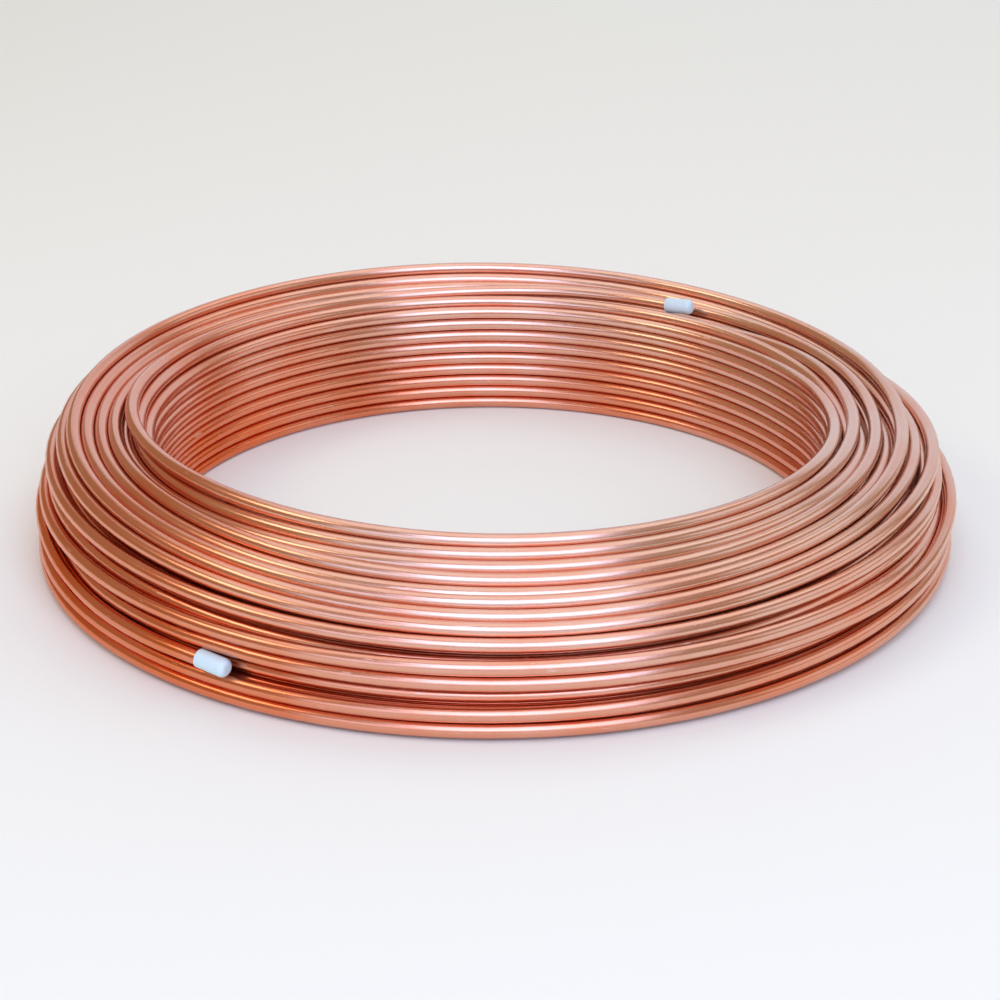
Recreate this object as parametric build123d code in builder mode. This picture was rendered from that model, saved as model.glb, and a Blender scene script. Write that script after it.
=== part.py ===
from build123d import *
from math import cos, radians, sin, sqrt, tan
import os

# Soft copper tube, wound in nested layers into a ring that lies flat on the floor.
# The ring's axis is Z, and the floor is Z = 0.
tube_diameter = 6.35
tube_wall = 0.8
coil_bore_diameter = 308.0

# How far turns are lifted off the floor, as shares of the tube's diameter, from the bore outwards.
# A layer nests in the grooves of the one inside it, so neighbouring layers are half a diameter out of step.
# The first layers lie level. The next ones have slumped: their upper turns lean, low at the front and
# high at the back. The last layer is a few turns round the outside.
# The top turn of each layer, then the last layer's turns:
level_lift_shares = (8, 8.5, 8, 8.5)
slumped_lift_shares = (8.1, 8.6, 8.1, 7.6, 6.6)
last_lift_shares = (4.5, 3.5)
floor_lift_shares = (0, 0.5)
nesting_share = sin(radians(60))

# The slumped turns lie on a bed of level ones. They are turned about an axis that leans to their low side.
slump_angle = 3.0
slump_heading = 285
slumped_side_turns = 2
slumped_root_share = 2.5
slumped_shoulder_share = 7.8
slumped_reach_share = 0.8
bed_lift_shares = (6, 4.5)

# A turn that shows above or outside is drawn with six sides, flat above and below, so that nested turns
# meet side to side. So are the bends that lead to the tube's two ends.
turn_sides = 6

# Both ends of the tube come out of the winding in a gentle bend, and end in a straight stretch under a cap.
# The inner end lies on top of the last level layer but one.
# The outer end lies below the last layer's lowest turn.
inner_end_angle = 56.8
outer_end_angle = 236.6
end_sweep_angle = 78
end_dive_share = 2.2
rest_clearance = 0.3

# Push-on end cap, closed at its nose
cap_wall = 0.7
cap_clearance = 0.05
cap_grip = 13.2
cap_nose_wall = 1.6
cap_nose_chamfer = 1.2

tube_radius = tube_diameter / 2
bore_radius = coil_bore_diameter / 2
layer_pitch = tube_diameter * nesting_share
first_slumped_layer = len(level_lift_shares)
last_layer = first_slumped_layer + len(slumped_lift_shares)
inner_end_layer = first_slumped_layer - 2
turn_corner = tube_radius / cos(radians(180 / turn_sides))
turn_flat = tube_radius * tan(radians(180 / turn_sides))
cap_radius = tube_radius + cap_clearance + cap_wall
cap_reach = cap_radius + rest_clearance
end_dive = end_dive_share * tube_diameter


def turn_centre(layer, lift_share):
    # Radius and height of the middle of one turn
    return bore_radius + tube_radius + layer * layer_pitch, tube_radius + lift_share * tube_diameter


# The level turns that show, over the top from the bore
level_centres = [turn_centre(layer, lift) for layer, lift in enumerate(level_lift_shares)]
last_centres = [turn_centre(last_layer, lift) for lift in last_lift_shares]
top_of_bore = level_centres[0][1]
bed_edges = [
    turn_centre(first_slumped_layer, bed_lift_shares[0]),
    turn_centre(last_layer - 1, bed_lift_shares[1]),
]

# Below the last layer the outside is plain, as far out as the turns of the layer inside it.
wall_radius = turn_centre(last_layer - 1, 0)[0] + turn_corner
wall_top = last_centres[-1][1]

# Underneath, each layer shows as a ridge where its lowest turn lies on the floor, or as a valley where
# it is lifted. The first layer's lowest turn has a flat foot.
undersides = []
for layer in range(last_layer - 1, 0, -1):
    radius, height = turn_centre(layer, floor_lift_shares[layer % 2])
    undersides.append((radius, height - tube_radius))
foot_centre = turn_centre(0, floor_lift_shares[0])
foot_edge = (foot_centre[0] + turn_flat, foot_centre[1] - tube_radius)

# The slumped turns that show, over the top and down the outside, in a plane that leans with them
slumped_centres = [turn_centre(first_slumped_layer + i, lift) for i, lift in enumerate(slumped_lift_shares)]
for row in range(1, slumped_side_turns):
    slumped_centres.append(turn_centre(last_layer - 1, slumped_lift_shares[-1] - row))
slumped_inside = slumped_centres[0][0] - slumped_reach_share * layer_pitch
slumped_outside = slumped_centres[-1][0] + turn_flat
slumped_root = slumped_root_share * tube_diameter
slumped_shoulder = slumped_shoulder_share * tube_diameter
up = Vector(0, 0, 1)
low_side = Vector(cos(radians(slump_heading)), sin(radians(slump_heading)), 0)
slump_up = up * cos(radians(slump_angle)) + low_side * sin(radians(slump_angle))
slump_across = up.cross(low_side)
slump_axis = Axis((0, 0, 0), slump_up)
slump_plane = Plane(origin=(0, 0, 0), x_dir=slump_across, z_dir=slump_across.cross(slump_up))

# The inner end's cap rests in the groove between the top turns of the two layers beside its own.
inner_end_radius = level_centres[inner_end_layer][0]
groove_top = level_centres[inner_end_layer + 1][1] + tube_radius
straight_drift = sqrt(inner_end_radius**2 + cap_grip**2) - inner_end_radius
groove_half_width = layer_pitch - turn_flat - straight_drift
inner_end_height = groove_top + sqrt(cap_reach**2 - groove_half_width**2)

# The outer end's cap lies close under the last layer, along the plain wall.
outer_end_height = wall_top - tube_radius - cap_reach
outer_end_radius = wall_radius + cap_reach

# Each end's plane stands across the tube at the cap's rim and faces along the straight stretch.
inner_out = Vector(cos(radians(inner_end_angle)), sin(radians(inner_end_angle)), 0)
outer_out = Vector(cos(radians(outer_end_angle)), sin(radians(outer_end_angle)), 0)
inner_end = Plane(
    origin=inner_out * inner_end_radius + up * inner_end_height,
    x_dir=inner_out,
    z_dir=inner_out.cross(up),
)
outer_end = Plane(
    origin=outer_out * outer_end_radius + up * outer_end_height,
    x_dir=outer_out,
    z_dir=up.cross(outer_out),
)

# The inner end's bend swings about a lowered point on the ring's axis, so that it dives into the top.
# The outer end's bend swings about a point nearer to the cap, so that it dives in through the outside.
inner_pivot = up * (inner_end_height - end_dive)
outer_pivot = outer_out * end_dive + up * outer_end_height
inner_bend = Axis(inner_pivot, inner_end.z_dir.cross(inner_end.origin - inner_pivot))
outer_bend = Axis(outer_pivot, outer_end.z_dir.cross(outer_end.origin - outer_pivot))

with BuildPart() as copper_tube:
    with BuildSketch(Plane.XZ):
        with BuildLine():
            Polyline(
                (bore_radius, foot_centre[1]),
                (bore_radius, top_of_bore),
                *level_centres,
                *bed_edges,
                *last_centres,
                (wall_radius, wall_top),
                (wall_radius, tube_radius),
                *undersides,
                foot_edge,
                foot_centre,
                close=True,
            )
        make_face()
        with Locations(*level_centres, *last_centres, foot_centre):
            RegularPolygon(tube_radius, turn_sides, major_radius=False)
        # The bore's wall is plain, at the inside of the first layer.
        with Locations((bore_radius, top_of_bore)):
            Rectangle(tube_radius, 2 * top_of_bore, align=(Align.MAX, Align.CENTER), mode=Mode.SUBTRACT)
    revolve(axis=Axis.Z)
    with BuildSketch(slump_plane):
        with BuildLine():
            Polyline(
                (slumped_inside, slumped_root),
                (slumped_inside, slumped_shoulder),
                *slumped_centres,
                (slumped_outside, slumped_centres[-1][1]),
                (slumped_outside, slumped_root),
                close=True,
            )
        make_face()
        with Locations(*slumped_centres):
            RegularPolygon(tube_radius, turn_sides, major_radius=False)
    revolve(axis=slump_axis)
    for end, bend in ((inner_end, inner_bend), (outer_end, outer_bend)):
        with BuildSketch(end):
            RegularPolygon(tube_radius, turn_sides, major_radius=False)
        revolve(axis=bend, revolution_arc=end_sweep_angle)
        with BuildSketch(end):
            Circle(tube_radius)
        extrude(amount=cap_grip)
        with BuildSketch(end):
            Circle(tube_radius - tube_wall)
        extrude(amount=cap_grip, mode=Mode.SUBTRACT)

end_caps = {}
for cap_name, end in (("inner_end_cap", inner_end), ("outer_end_cap", outer_end)):
    with BuildPart() as end_cap:
        with BuildSketch(end):
            Circle(cap_radius)
        extrude(amount=cap_grip + cap_nose_wall)
        nose_edge = end_cap.edges().filter_by(GeomType.CIRCLE).sort_by(Axis(end.origin, end.z_dir))[-1]
        chamfer(nose_edge, cap_nose_chamfer)
        with BuildSketch(end):
            Circle(tube_radius + cap_clearance)
        extrude(amount=cap_grip, mode=Mode.SUBTRACT)
    end_caps[cap_name] = end_cap.part

os.makedirs("parts", exist_ok=True)
copper_tube.part.label = "copper_tube"
export_step(copper_tube.part, "parts/copper_tube.step")
for cap_name, cap in end_caps.items():
    cap.label = cap_name
    export_step(cap, f"parts/{cap_name}.step")
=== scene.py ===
import math

import bmesh
import bpy
import numpy as np
from mathutils import Matrix, Vector


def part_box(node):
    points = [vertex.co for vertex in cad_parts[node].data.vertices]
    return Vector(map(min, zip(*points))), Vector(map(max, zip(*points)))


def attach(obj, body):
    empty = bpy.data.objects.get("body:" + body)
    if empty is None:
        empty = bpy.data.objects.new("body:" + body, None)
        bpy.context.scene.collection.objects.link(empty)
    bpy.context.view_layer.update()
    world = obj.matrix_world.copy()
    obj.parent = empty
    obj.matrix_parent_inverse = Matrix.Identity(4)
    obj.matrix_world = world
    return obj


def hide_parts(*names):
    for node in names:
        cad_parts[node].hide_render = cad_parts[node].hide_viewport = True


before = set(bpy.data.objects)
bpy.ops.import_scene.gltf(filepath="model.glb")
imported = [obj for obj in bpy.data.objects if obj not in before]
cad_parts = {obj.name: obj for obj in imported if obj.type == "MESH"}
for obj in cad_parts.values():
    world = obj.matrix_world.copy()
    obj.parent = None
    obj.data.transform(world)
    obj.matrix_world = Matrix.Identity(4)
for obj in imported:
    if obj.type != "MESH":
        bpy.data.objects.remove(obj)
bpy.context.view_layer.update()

mixSocket = {"factor": 0, "first": 6, "second": 7, "result": 2}    # the colour sockets of a mix node
mmPerMetre = 1000


def hexToLinear(code):
    channels = [int(code[i:i + 2], 16) / 255 for i in (1, 3, 5)]
    linear = [c / 12.92 if c <= 0.04045 else ((c + 0.055) / 1.055) ** 2.4 for c in channels]
    return (*linear, 1.0)


def addNode(material, kind, settings=None, links=None):
    # settings and links name a socket, or give its number where several share a name
    node = material.node_tree.nodes.new(kind)
    for name, value in (settings or {}).items():
        if isinstance(name, int) or name in node.inputs:
            node.inputs[name].default_value = value
        else:
            setattr(node, name, value)
    for name, source in (links or {}).items():
        material.node_tree.links.new(source, node.inputs[name])
    return node


def newMaterial(name):
    material = bpy.data.materials.new(name)
    material.use_nodes = True
    material.node_tree.nodes.clear()
    return material


def addPiece(name, mesh, material, node):
    mesh.name = name
    mesh.materials.clear()
    mesh.materials.append(material)
    piece = bpy.data.objects.new(name, mesh)
    bpy.context.scene.collection.objects.link(piece)
    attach(piece, "root")
    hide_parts(node)


# End caps: thin moulded sleeves, closed and rounded at the nose. Lengths are in m.
cap = {
    "length": 0.0148,
    "grip": 0.0132,              # how far the tube goes in
    "outerRadius": 0.003925,
    "innerRadius": 0.003225,
    "noseRound": 0.0024,
    "noseSteps": 8,
    "rimRound": 0.0006,
    "rimSteps": 4,
    "steps": 64,                 # sides around
    "weld": 1e-6,                # corners nearer than this are one
    "innerTilt": 5,              # degrees that the nose points up
    "outerTilt": -4,
}


def capPlace(node, turnSense, tilt):
    # middle of the cap's mouth, as angle round the ring, distance from its axis and height
    # turnSense is 1 where the nose points on along the winding, and -1 where it points back
    low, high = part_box(node)
    centre = (low + high) / 2
    half = cap["length"] / 2
    reach = math.hypot(centre.x, centre.y)
    mouthRadius = math.sqrt(reach ** 2 - half ** 2)
    mouthAngle = math.atan2(centre.y, centre.x) - turnSense * math.atan2(half, mouthRadius)
    outward = Vector((math.cos(mouthAngle), math.sin(mouthAngle), 0))
    lift = math.tan(math.radians(tilt))
    along = Vector((-outward.y * turnSense, outward.x * turnSense, lift)).normalized()
    mouthHeight = centre.z - half * lift
    return {
        "angle": mouthAngle % math.tau,
        "radius": mouthRadius,
        "height": mouthHeight,
        "mouth": outward * mouthRadius + Vector((0, 0, mouthHeight)),
        "along": along,
    }


innerEnd = capPlace("inner_end_cap", -1, cap["innerTilt"])
outerEnd = capPlace("outer_end_cap", 1, cap["outerTilt"])

# The winding: the tube's diameter and the bore's radius are in m and other lengths in tube diameters.
# Angles are in degrees round the ring from its right-hand side.
winding = {
    "tubeDiameter": 0.00635,
    "boreRadius": 0.154,
    "layerRows": [10, 9, 9, 8, 8, 7, 7, 6, 6, 5],     # turns in each layer at the front, bore first
    "lastLayerOrder": [0, 1, 4, 3, 2],                # rows of the outermost layer as they were wound
    # how far each layer's top rides up from the front
    "liftRight": [0, 0, 0.6, 1.2, 1.8, 2.4, 2.9, 2.9, 2.1, 0.8],
    "liftBack": [0, 0, 0.2, 1.2, 2.4, 3.6, 5.1, 3.9, 2, 1],
    "liftLeft": [0.3, 0.4, 1.2, 2.0, 2.6, 3.3, 4.1, 4.2, 3.0, 0.5],
    "layerPitch": 0.866,                              # nested layers
    "spreadRight": 0.055,                             # crossing turns hold the layers further apart
    "crossover": 80,                                  # arc in which a turn steps to the next place
    # angle, radius and height along the turns that lead to the two ends
    "firstTurn": [(90, 27.0, 9.5), (150, 26.8, 9.8), (190, 26.3, 10.0), (240, 25.0, 9.7), (280, 24.75, 9.5),
                  (360, 24.75, 9.0)],
    "lastTurn": [(0, 33.1, 5.3), (90, 31.4, 6.0), (150, 32.2, 5.4), (190, 32.6, 4.9), (212, 32.8, 3.8)],
    "outerLimit": (33.15, 32.65, 32.45, 31.4),        # right, front, left and back
    "wander": 0.05,                                   # unevenness of the winding
    "wanderLobes": (2, 3, 5),                         # waves in one turn
    "seed": 5,
    "slices": 120,                                    # sections round the ring
    "hiddenDepth": 2,                                 # below the top, where turns need fewer points
    "hiddenHeight": 1,                                # and above the floor
    "hiddenStep": 2,                                  # slices from one of their points to the next
    "bevelSteps": 4,                                  # gives the tube twelve sides
}
diameter = winding["tubeDiameter"]
tubeRadius = 0.5                                      # in tube diameters
angles = np.arange(winding["slices"]) * math.tau / winding["slices"]


def smoothStep(share):
    share = np.clip(share, 0, 1)
    return share * share * (3 - 2 * share)


def placesInOrder():
    # (layer, height at the front, share of the layer's lift) of each turn, down one layer and up the next
    places = []
    for layer, rows in enumerate(winding["layerRows"]):
        foot = tubeRadius * (1 + layer % 2)
        order = list(range(rows))
        if layer == len(winding["layerRows"]) - 1:
            order = winding["lastLayerOrder"]
        elif layer % 2 == 0:
            order.reverse()
        places += [(layer, foot + row, row / (rows - 1)) for row in order]
    return np.array(places)


def endRoute(points, end, first):
    # radius and height of a turn that ends in a cap, for every slice
    capPoint = (math.degrees(end["angle"]), end["radius"] / diameter, end["height"] / diameter)
    points = [capPoint] + points if first else points + [capPoint]
    degrees = np.degrees(angles)
    stops, radii, heights = np.array(points).T
    return np.interp(degrees, stops, radii), np.interp(degrees, stops, heights)


def layTurns():
    # radius and height of every turn at every slice, with the step to the next place at the right
    places = placesInOrder()
    count = len(places)
    half = math.radians(winding["crossover"]) / 2
    share = smoothStep((angles + half) / (2 * half)) + smoothStep((angles - math.tau + half) / (2 * half))
    share = share[:, None, None]                      # 0.5 to 1.5 from one crossover to the next
    before = np.vstack([places[:1], places[:-1]])
    after = np.vstack([places[1:], places[-1:]])
    blend = np.where(share < 1, before + (places - before) * share, places + (after - places) * (share - 1))
    layer, height, rise = np.moveaxis(blend, 2, 0)
    cosine = np.cos(angles)[:, None]
    sine = np.sin(angles)[:, None]
    right = np.clip(cosine, 0, 1) ** 2
    left = np.clip(-cosine, 0, 1) ** 2
    back = np.clip(sine, 0, 1) ** 2
    pitch = winding["layerPitch"] + winding["spreadRight"] * right
    radius = winding["boreRadius"] / diameter + tubeRadius + layer * pitch
    levels = np.arange(len(winding["layerRows"]))
    for side, lift in ((right, "liftRight"), (left, "liftLeft"), (back, "liftBack")):
        height = height + side * rise * np.interp(layer, levels, winding[lift])
    random = np.random.default_rng(winding["seed"])
    for lobes in winding["wanderLobes"]:
        for values in (radius, height):
            phase = random.uniform(0, math.tau, count)
            values += winding["wander"] * random.normal(size=count) * np.sin(lobes * angles[:, None] + phase)
    radius[:, 0], height[:, 0] = endRoute(winding["firstTurn"], innerEnd, True)
    radius[:, -1], height[:, -1] = endRoute(winding["lastTurn"], outerEnd, False)
    return radius, height


# How the turns, once laid, settle against each other
settling = {
    "rounds": 160,
    "sinkShare": 0.7,              # share of the rounds in which turns sink and draw in
    "sink": 0.004,                 # tube diameters downwards in each of those rounds
    "draw": 0.003,                 # and inwards
    "push": 0.45,                  # share of an overlap by which each of two turns gives way
    "least": 1e-6,                 # keeps distances off zero
    "bareRounds": 4,               # rounds at the end that don't smooth
    "smoothing": [1, 4, 6, 4, 1],
    "capMargin": 0.02,             # rad behind a cap's mouth that is as thick as the cap
    "holdReach": 0.05,             # rad behind a mouth in which the tube stays in line with its cap
    "holdFade": 0.4,               # rad in which it is let go
}


def smoothAlong(values, span, kernel):
    # values run slice by slice along the tube from its first end to its last
    line = values.T.ravel()
    pad = len(kernel) // 2
    part = np.pad(line[span], pad, "edge")
    line[span] = np.convolve(part, kernel, "valid")
    return line.reshape(values.T.shape).T


def outerWall():
    # how far out the middle of a turn may lie, for every slice
    cosine = np.cos(angles)[:, None]
    sine = np.sin(angles)[:, None]
    wall = 0
    for limit, side in zip(winding["outerLimit"], (cosine, -sine, -cosine, sine)):
        wall = wall + limit * np.clip(side, 0, 1) ** 2
    return wall


def settleTurns(radius, height):
    # pushes turns apart where they overlap, and keeps each one a smooth bend
    slices, count = radius.shape
    capArc = cap["length"] / innerEnd["radius"]
    startSlice = int(np.ceil((innerEnd["angle"] - capArc) / math.tau * slices))
    endSlice = int(np.floor((outerEnd["angle"] + capArc) / math.tau * slices))
    present = np.ones((slices, count), bool)
    present[:startSlice, 0] = False
    present[endSlice + 1:, -1] = False
    girth = np.full((slices, count), tubeRadius)
    capGirth = cap["outerRadius"] / diameter
    girth[angles < innerEnd["angle"] + settling["capMargin"], 0] = capGirth
    girth[angles > outerEnd["angle"] - settling["capMargin"], -1] = capGirth
    reach = girth[:, :, None] + girth[:, None, :]
    pairs = present[:, :, None] & present[:, None, :] & ~np.eye(count, dtype=bool)
    span = slice(startSlice, (count - 1) * slices + endSlice + 1)
    kernel = np.array(settling["smoothing"]) / sum(settling["smoothing"])
    fade = settling["holdFade"]
    letGo = settling["holdReach"] + fade
    holdFirst = 1 - smoothStep((angles - innerEnd["angle"] - settling["holdReach"]) / fade)
    holdLast = smoothStep((angles - outerEnd["angle"] + letGo) / fade)
    bore = winding["boreRadius"] / diameter
    outer = outerWall()
    for number in range(settling["rounds"]):
        if number < settling["rounds"] * settling["sinkShare"]:
            height = height - settling["sink"]
            radius = radius - settling["draw"]
        across = radius[:, :, None] - radius[:, None, :]
        upward = height[:, :, None] - height[:, None, :]
        apart = np.sqrt(across ** 2 + upward ** 2) + settling["least"]
        push = np.where(pairs & (apart < reach), (reach - apart) / apart * settling["push"], 0)
        radius = np.clip(radius + (push * across).sum(2), bore + girth, outer)
        height = np.maximum(height + (push * upward).sum(2), girth)
        if number < settling["rounds"] - settling["bareRounds"]:
            radius = smoothAlong(radius, span, kernel)
            height = smoothAlong(height, span, kernel)
        for turn, hold, end in ((0, holdFirst, innerEnd), (-1, holdLast, outerEnd)):
            radius[:, turn] += hold * (end["radius"] / diameter - radius[:, turn])
            height[:, turn] += hold * (end["height"] / diameter - height[:, turn])
    return radius, height


def tubeLine(radius, height):
    # points along the tube, fewer on the turns that lie hidden inside the winding
    places = placesInOrder()
    rows = np.array(winding["layerRows"])
    line = [innerEnd["mouth"] + innerEnd["along"] * cap["grip"]]
    for turn, (layer, front) in enumerate(places[:, :2]):
        depth = rows[int(layer)] - front
        inside = 0 < layer < len(rows) - 2
        hidden = inside and depth > winding["hiddenDepth"] and front > winding["hiddenHeight"]
        for number in range(0, winding["slices"], winding["hiddenStep"] if hidden else 1):
            angle = angles[number]
            if turn == 0 and angle < innerEnd["angle"]:
                continue
            if turn == len(places) - 1 and angle > outerEnd["angle"]:
                break
            reach = radius[number, turn] * diameter
            rest = height[number, turn] * diameter
            line.append(Vector((reach * math.cos(angle), reach * math.sin(angle), rest)))
    line.append(outerEnd["mouth"] + outerEnd["along"] * cap["grip"])
    return line


def sweepTube(line):
    curve = bpy.data.curves.new("copperLine", "CURVE")
    curve.dimensions = "3D"
    curve.bevel_depth = diameter / 2
    curve.bevel_resolution = winding["bevelSteps"]
    curve.use_fill_caps = True
    spline = curve.splines.new("POLY")
    spline.points.add(len(line) - 1)
    for point, place in zip(spline.points, line):
        point.co = (*place, 1)
    spline.use_smooth = True
    holder = bpy.data.objects.new("copperLine", curve)
    bpy.context.scene.collection.objects.link(holder)
    mesh = bpy.data.meshes.new_from_object(holder.evaluated_get(bpy.context.evaluated_depsgraph_get()))
    bpy.data.objects.remove(holder)
    return mesh


# Drawn soft copper, annealed bright: a satin metal that mirrors the room in soft bands along the tube.
# A thin tarnish deepens it in patches, and a painted shade in the same deep colour darkens it low down and to
# the left. Drawing lines run along it, and rubbing has left paler scuffs.
copperLook = {
    "fresh": "#E8C1AE",
    # deep colour of the tarnish patches, also laid on as painted shade low down and to the left
    "tarnishedAndShaded": "#E97E4A",
    "scuffed": "#F0D8CC",
    "patch": 45,                   # mm
    "patchDetail": 4,
    "patchRange": (0.4, 0.75),     # noise from the edge of a patch to its middle
    "patchTarnish": 0.35,
    "left": (0.02, -0.22),         # m along X, from no painted shade to the most
    "leftPaintedShade": 0.5,
    "low": (0.06, 0.0),            # m above the floor
    "lowPaintedShade": 0.45,
    "drawLine": 0.9,               # mm, coarser than the real lines so that they show
    "drawLength": 90,              # mm
    "drawDepth": 0.2,              # mm
    "drawStrength": 0.1,
    "grainDetail": 3,
    "scuffWidth": 2.2,             # mm
    "scuffLength": 22,             # mm
    "scuffRange": (0.67, 0.74),    # noise from the edge of a scuff to its middle
    "scuffStrength": 0.6,
    "scuffRoughness": 0.3,         # added in a full scuff
    "roughLow": 0.19,
    "roughHigh": 0.29,
}


def tarnishAndShadeShare(material, place):
    # 0 on fresh metal to 1 where tarnish patches and painted shade deepen it most
    patches = addNode(material, "ShaderNodeTexNoise",
                      {"Scale": mmPerMetre / copperLook["patch"], "Detail": copperLook["patchDetail"]},
                      {"Vector": place.outputs["Object"]})
    edge, middle = copperLook["patchRange"]
    tarnishAndShade = addNode(material, "ShaderNodeMapRange",
                      {"From Min": edge, "From Max": middle, "To Max": copperLook["patchTarnish"]},
                      {"Value": patches.outputs["Fac"]}).outputs["Result"]
    split = addNode(material, "ShaderNodeSeparateXYZ", None, {"Vector": place.outputs["Object"]})
    # painted shade: the metal is made deeper towards the left and towards the floor
    for axis, side, most in (("X", "left", "leftPaintedShade"), ("Z", "low", "lowPaintedShade")):
        near, far = copperLook[side]
        paintedShade = addNode(material, "ShaderNodeMapRange",
                         {"interpolation_type": "SMOOTHSTEP", "From Min": near, "From Max": far,
                          "To Max": copperLook[most]},
                         {"Value": split.outputs[axis]})
        tarnishAndShade = addNode(material, "ShaderNodeMath", {"operation": "ADD", "use_clamp": True},
                          {0: tarnishAndShade, 1: paintedShade.outputs["Result"]}).outputs["Value"]
    return tarnishAndShade


def copperMaterial(tubeLength):
    material = newMaterial("drawn_soft_copper")
    place = addNode(material, "ShaderNodeTexCoord")
    # fresh metal mixed with the deep colour of tarnish patches and painted shade
    copper = addNode(material, "ShaderNodeMix",
                     {"data_type": "RGBA",
                      mixSocket["first"]: hexToLinear(copperLook["fresh"]),
                      mixSocket["second"]: hexToLinear(copperLook["tarnishedAndShaded"])},
                     {mixSocket["factor"]: tarnishAndShadeShare(material, place)})

    # lines and scuffs are stretched along the tube: U runs along it and V around it
    around = math.pi * diameter * mmPerMetre
    along = tubeLength * mmPerMetre
    grain = {}
    for kind, length, width in (("lines", "drawLength", "drawLine"), ("scuffs", "scuffLength", "scuffWidth")):
        scale = (along / copperLook[length], around / copperLook[width], 1)
        stretch = addNode(material, "ShaderNodeMapping", {"Scale": scale}, {"Vector": place.outputs["UV"]})
        noise = addNode(material, "ShaderNodeTexNoise", {"Scale": 1, "Detail": copperLook["grainDetail"]},
                        {"Vector": stretch.outputs["Vector"]})
        grain[kind] = noise.outputs["Fac"]

    edge, middle = copperLook["scuffRange"]
    scuffs = addNode(material, "ShaderNodeMapRange",
                     {"From Min": edge, "From Max": middle, "To Max": copperLook["scuffStrength"]},
                     {"Value": grain["scuffs"]}).outputs["Result"]
    colour = addNode(material, "ShaderNodeMix",
                     {"data_type": "RGBA", mixSocket["second"]: hexToLinear(copperLook["scuffed"])},
                     {mixSocket["factor"]: scuffs, mixSocket["first"]: copper.outputs[mixSocket["result"]]})
    satin = addNode(material, "ShaderNodeMapRange",
                    {"To Min": copperLook["roughLow"], "To Max": copperLook["roughHigh"]},
                    {"Value": grain["lines"]})
    rough = addNode(material, "ShaderNodeMath",
                    {"operation": "MULTIPLY_ADD", 1: copperLook["scuffRoughness"]},
                    {0: scuffs, 2: satin.outputs["Result"]})
    relief = addNode(material, "ShaderNodeBump",
                     {"Strength": copperLook["drawStrength"],
                      "Distance": copperLook["drawDepth"] / mmPerMetre},
                     {"Height": grain["lines"]})
    shader = addNode(material, "ShaderNodeBsdfPrincipled", {"Metallic": 1.0},
                     {"Base Color": colour.outputs[mixSocket["result"]],
                      "Roughness": rough.outputs["Value"],
                      "Normal": relief.outputs["Normal"]})
    addNode(material, "ShaderNodeOutputMaterial", None, {"Surface": shader.outputs["BSDF"]})
    return material


# Moulded polyethylene, milky: light goes a little way in, with a soft waxy gloss
capLook = {
    "milk": "#D8F0F5",
    "cool": "#CAE6EE",
    "cloud": 4,              # mm
    "cloudDetail": 2,
    "ripple": 0.1,           # mm
    "rippleStrength": 0.1,
    "roughness": 0.42,
    "refraction": 1.51,
    "depth": 1.5,            # mm
    "depthShare": 0.2,       # share of the light that goes in
}


def capMaterial():
    material = newMaterial("moulded_polyethylene")
    place = addNode(material, "ShaderNodeTexCoord")
    clouds = addNode(material, "ShaderNodeTexNoise",
                     {"Scale": mmPerMetre / capLook["cloud"], "Detail": capLook["cloudDetail"]},
                     {"Vector": place.outputs["Object"]})
    colour = addNode(material, "ShaderNodeMix",
                     {"data_type": "RGBA",
                      mixSocket["first"]: hexToLinear(capLook["milk"]),
                      mixSocket["second"]: hexToLinear(capLook["cool"])},
                     {mixSocket["factor"]: clouds.outputs["Fac"]})
    relief = addNode(material, "ShaderNodeBump",
                     {"Strength": capLook["rippleStrength"], "Distance": capLook["ripple"] / mmPerMetre},
                     {"Height": clouds.outputs["Fac"]})
    depth = capLook["depth"] / mmPerMetre
    shader = addNode(material, "ShaderNodeBsdfPrincipled",
                     {"Roughness": capLook["roughness"], "IOR": capLook["refraction"],
                      "Subsurface Weight": capLook["depthShare"],
                      "Subsurface Radius": (depth, depth, depth), "Subsurface Scale": 1.0},
                     {"Base Color": colour.outputs[mixSocket["result"]], "Normal": relief.outputs["Normal"]})
    addNode(material, "ShaderNodeOutputMaterial", None, {"Surface": shader.outputs["BSDF"]})
    return material


def makeCap(end):
    # half profile from the closed inside, round the rim, along the outside and round the nose
    outer, inner, length = cap["outerRadius"], cap["innerRadius"], cap["length"]
    rim, nose = cap["rimRound"], cap["noseRound"]
    profile = [(0, cap["grip"]), (inner, cap["grip"]), (inner, rim / 2), (inner + rim / 3, 0)]
    for step in range(cap["rimSteps"] + 1):
        turn = math.pi / 2 * step / cap["rimSteps"]
        profile.append((outer - rim + rim * math.sin(turn), rim - rim * math.cos(turn)))
    for step in range(cap["noseSteps"] + 1):
        turn = math.pi / 2 * step / cap["noseSteps"]
        profile.append((outer - nose + nose * math.cos(turn), length - nose + nose * math.sin(turn)))
    profile.append((0, length))
    shape = bmesh.new()
    corners = [shape.verts.new((reach, 0, along)) for reach, along in profile]
    edges = [shape.edges.new(pair) for pair in zip(corners, corners[1:])]
    bmesh.ops.spin(shape, geom=corners + edges, axis=(0, 0, 1), cent=(0, 0, 0), angle=math.tau,
                   steps=cap["steps"], use_merge=True)
    bmesh.ops.remove_doubles(shape, verts=shape.verts, dist=cap["weld"])
    bmesh.ops.recalc_face_normals(shape, faces=shape.faces)
    for face in shape.faces:
        face.smooth = True
    turned = end["along"].to_track_quat("Z", "Y").to_matrix().to_4x4()
    bmesh.ops.transform(shape, matrix=Matrix.Translation(end["mouth"]) @ turned, verts=shape.verts)
    mesh = bpy.data.meshes.new("cap")
    shape.to_mesh(mesh)
    shape.free()
    return mesh


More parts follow.
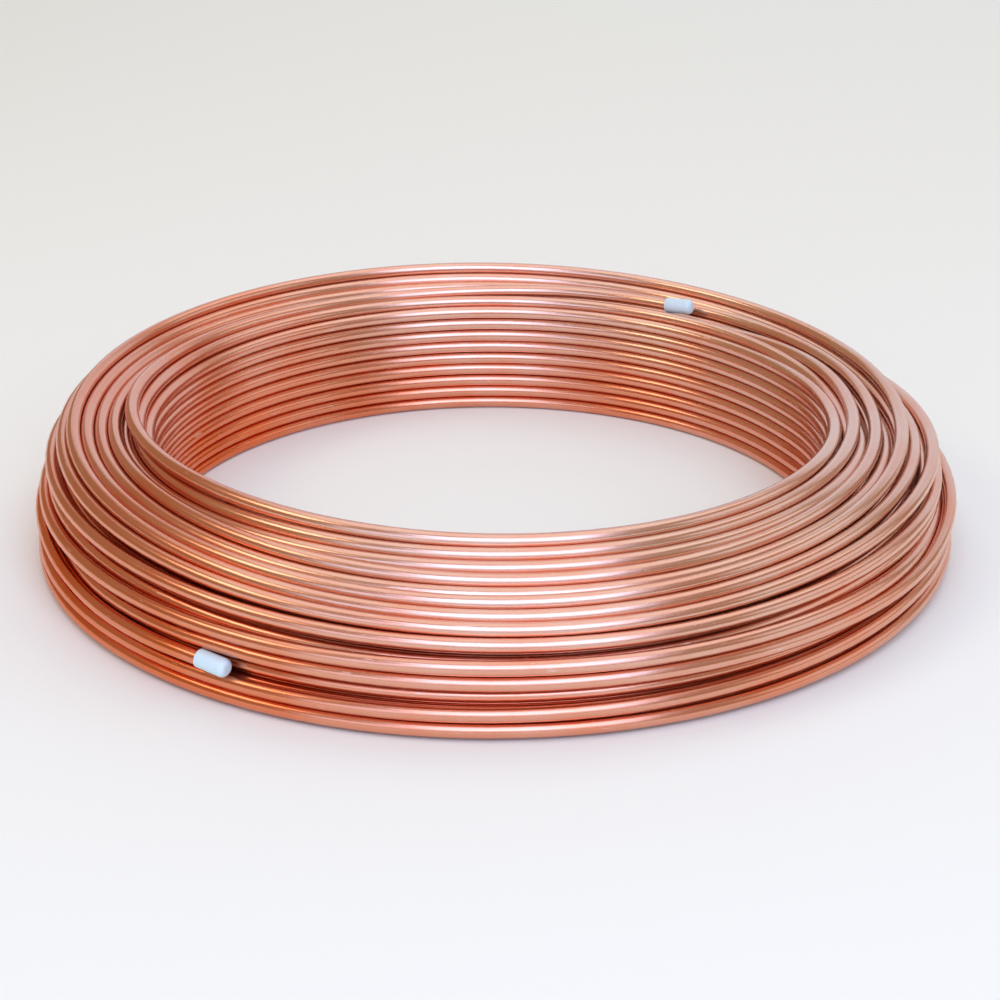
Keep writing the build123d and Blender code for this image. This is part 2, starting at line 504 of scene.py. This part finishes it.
turnRadius, turnHeight = settleTurns(*layTurns())
line = tubeLine(turnRadius, turnHeight)
tubeLength = sum((b - a).length for a, b in zip(line, line[1:]))
tubeMesh = sweepTube(line)
addPiece("copper_tube_wound", tubeMesh, copperMaterial(tubeLength), "copper_tube")
turnCount = turnRadius.shape[1]
print("tube wound:", turnCount, "turns,", round(tubeLength, 1), "m,", len(tubeMesh.polygons), "faces")

plastic = capMaterial()
addPiece("inner_end_cap_moulded", makeCap(innerEnd), plastic, "inner_end_cap")
addPiece("outer_end_cap_moulded", makeCap(outerEnd), plastic, "outer_end_cap")
print("caps pushed on")

# Studio: a pale floor in dim warm air, with a soft light above. Cooler panels stand in front, behind and at
# the right, and a warmer lamp hangs at the left. Lengths are in m.
studio = {
    "floor": "#F3FAF0",
    "floorSize": 8.0,
    "floorCells": 4,
    "floorRoughness": 0.7,
    "air": "#FFD6AC",
    "airStrength": 0.4,
    "panels": {
        "overhead": {"place": (0.2, 0.6, 2.4), "size": (3.0, 3.0), "radiance": 0.9, "colour": "#E8F0FF"},
        "frontKey": {"place": (0.25, -1.65, 1.65), "size": (1.9, 1.7), "radiance": 3.2, "colour": "#BED0FF"},
        "frontWindow": {"place": (-0.2, -2.1, 0.8), "size": (3.4, 1.2), "radiance": 1.4, "colour": "#BED4FF"},
        "backWindow": {"place": (0.6, 2.3, 0.85), "size": (4.0, 1.6), "radiance": 0.8, "colour": "#BEDCFF"},
        "rightWindow": {"place": (2.6, -0.2, 1.1), "size": (2.2, 1.5), "radiance": 0.8, "colour": "#D8E6FF"},
        "leftLamp": {"place": (-1.9, -0.5, 2.0), "size": (1.2, 0.8), "radiance": 3.0, "colour": "#FFEBD4"},
    },
}


def addPanel(name, place, size, radiance, colour):
    # a flat light facing the coil; its power follows from its brightness and area
    lamp = bpy.data.lights.new(name, "AREA")
    lamp.shape = "RECTANGLE"
    lamp.size, lamp.size_y = size
    lamp.energy = radiance * math.pi * size[0] * size[1]
    lamp.color = hexToLinear(colour)[:3]
    holder = bpy.data.objects.new(name, lamp)
    holder.location = place
    holder.rotation_euler = (-Vector(place)).to_track_quat("-Z", "Y").to_euler()
    bpy.context.scene.collection.objects.link(holder)


def makeFloor():
    shape = bmesh.new()
    bmesh.ops.create_grid(shape, x_segments=studio["floorCells"], y_segments=studio["floorCells"],
                          size=studio["floorSize"] / 2)
    mesh = bpy.data.meshes.new("floor")
    shape.to_mesh(mesh)
    shape.free()
    material = newMaterial("pale_floor")
    shader = addNode(material, "ShaderNodeBsdfPrincipled",
                     {"Base Color": hexToLinear(studio["floor"]), "Roughness": studio["floorRoughness"]})
    addNode(material, "ShaderNodeOutputMaterial", None, {"Surface": shader.outputs["BSDF"]})
    mesh.materials.append(material)
    floor = bpy.data.objects.new("floor", mesh)
    bpy.context.scene.collection.objects.link(floor)


makeFloor()
for name, panel in studio["panels"].items():
    addPanel(name, **panel)
world = bpy.data.worlds.new("studioAir")
world.use_nodes = True
air = world.node_tree.nodes["Background"]
air.inputs["Color"].default_value = hexToLinear(studio["air"])
air.inputs["Strength"].default_value = studio["airStrength"]
bpy.context.scene.world = world
bpy.context.scene.view_settings.view_transform = "Standard"
print("studio lit")

# Camera at the photograph's height and distance
shot = {
    "elevation": 23.68,    # degrees
    "distance": 1.0165,    # m from the middle of the ring, on the floor
    "lens": 77.4,          # mm
    "sensor": 36,          # mm
    "shift": (0.009, 0.0235),
}
camera = bpy.data.cameras.new("camera")
camera.lens = shot["lens"]
camera.sensor_width = shot["sensor"]
camera.shift_x, camera.shift_y = shot["shift"]
viewer = bpy.data.objects.new("camera", camera)
rise = math.radians(shot["elevation"])
viewer.location = Vector((0, -math.cos(rise), math.sin(rise))) * shot["distance"]
viewer.rotation_euler = (math.pi / 2 - rise, 0, 0)
bpy.context.scene.collection.objects.link(viewer)
bpy.context.scene.camera = viewer
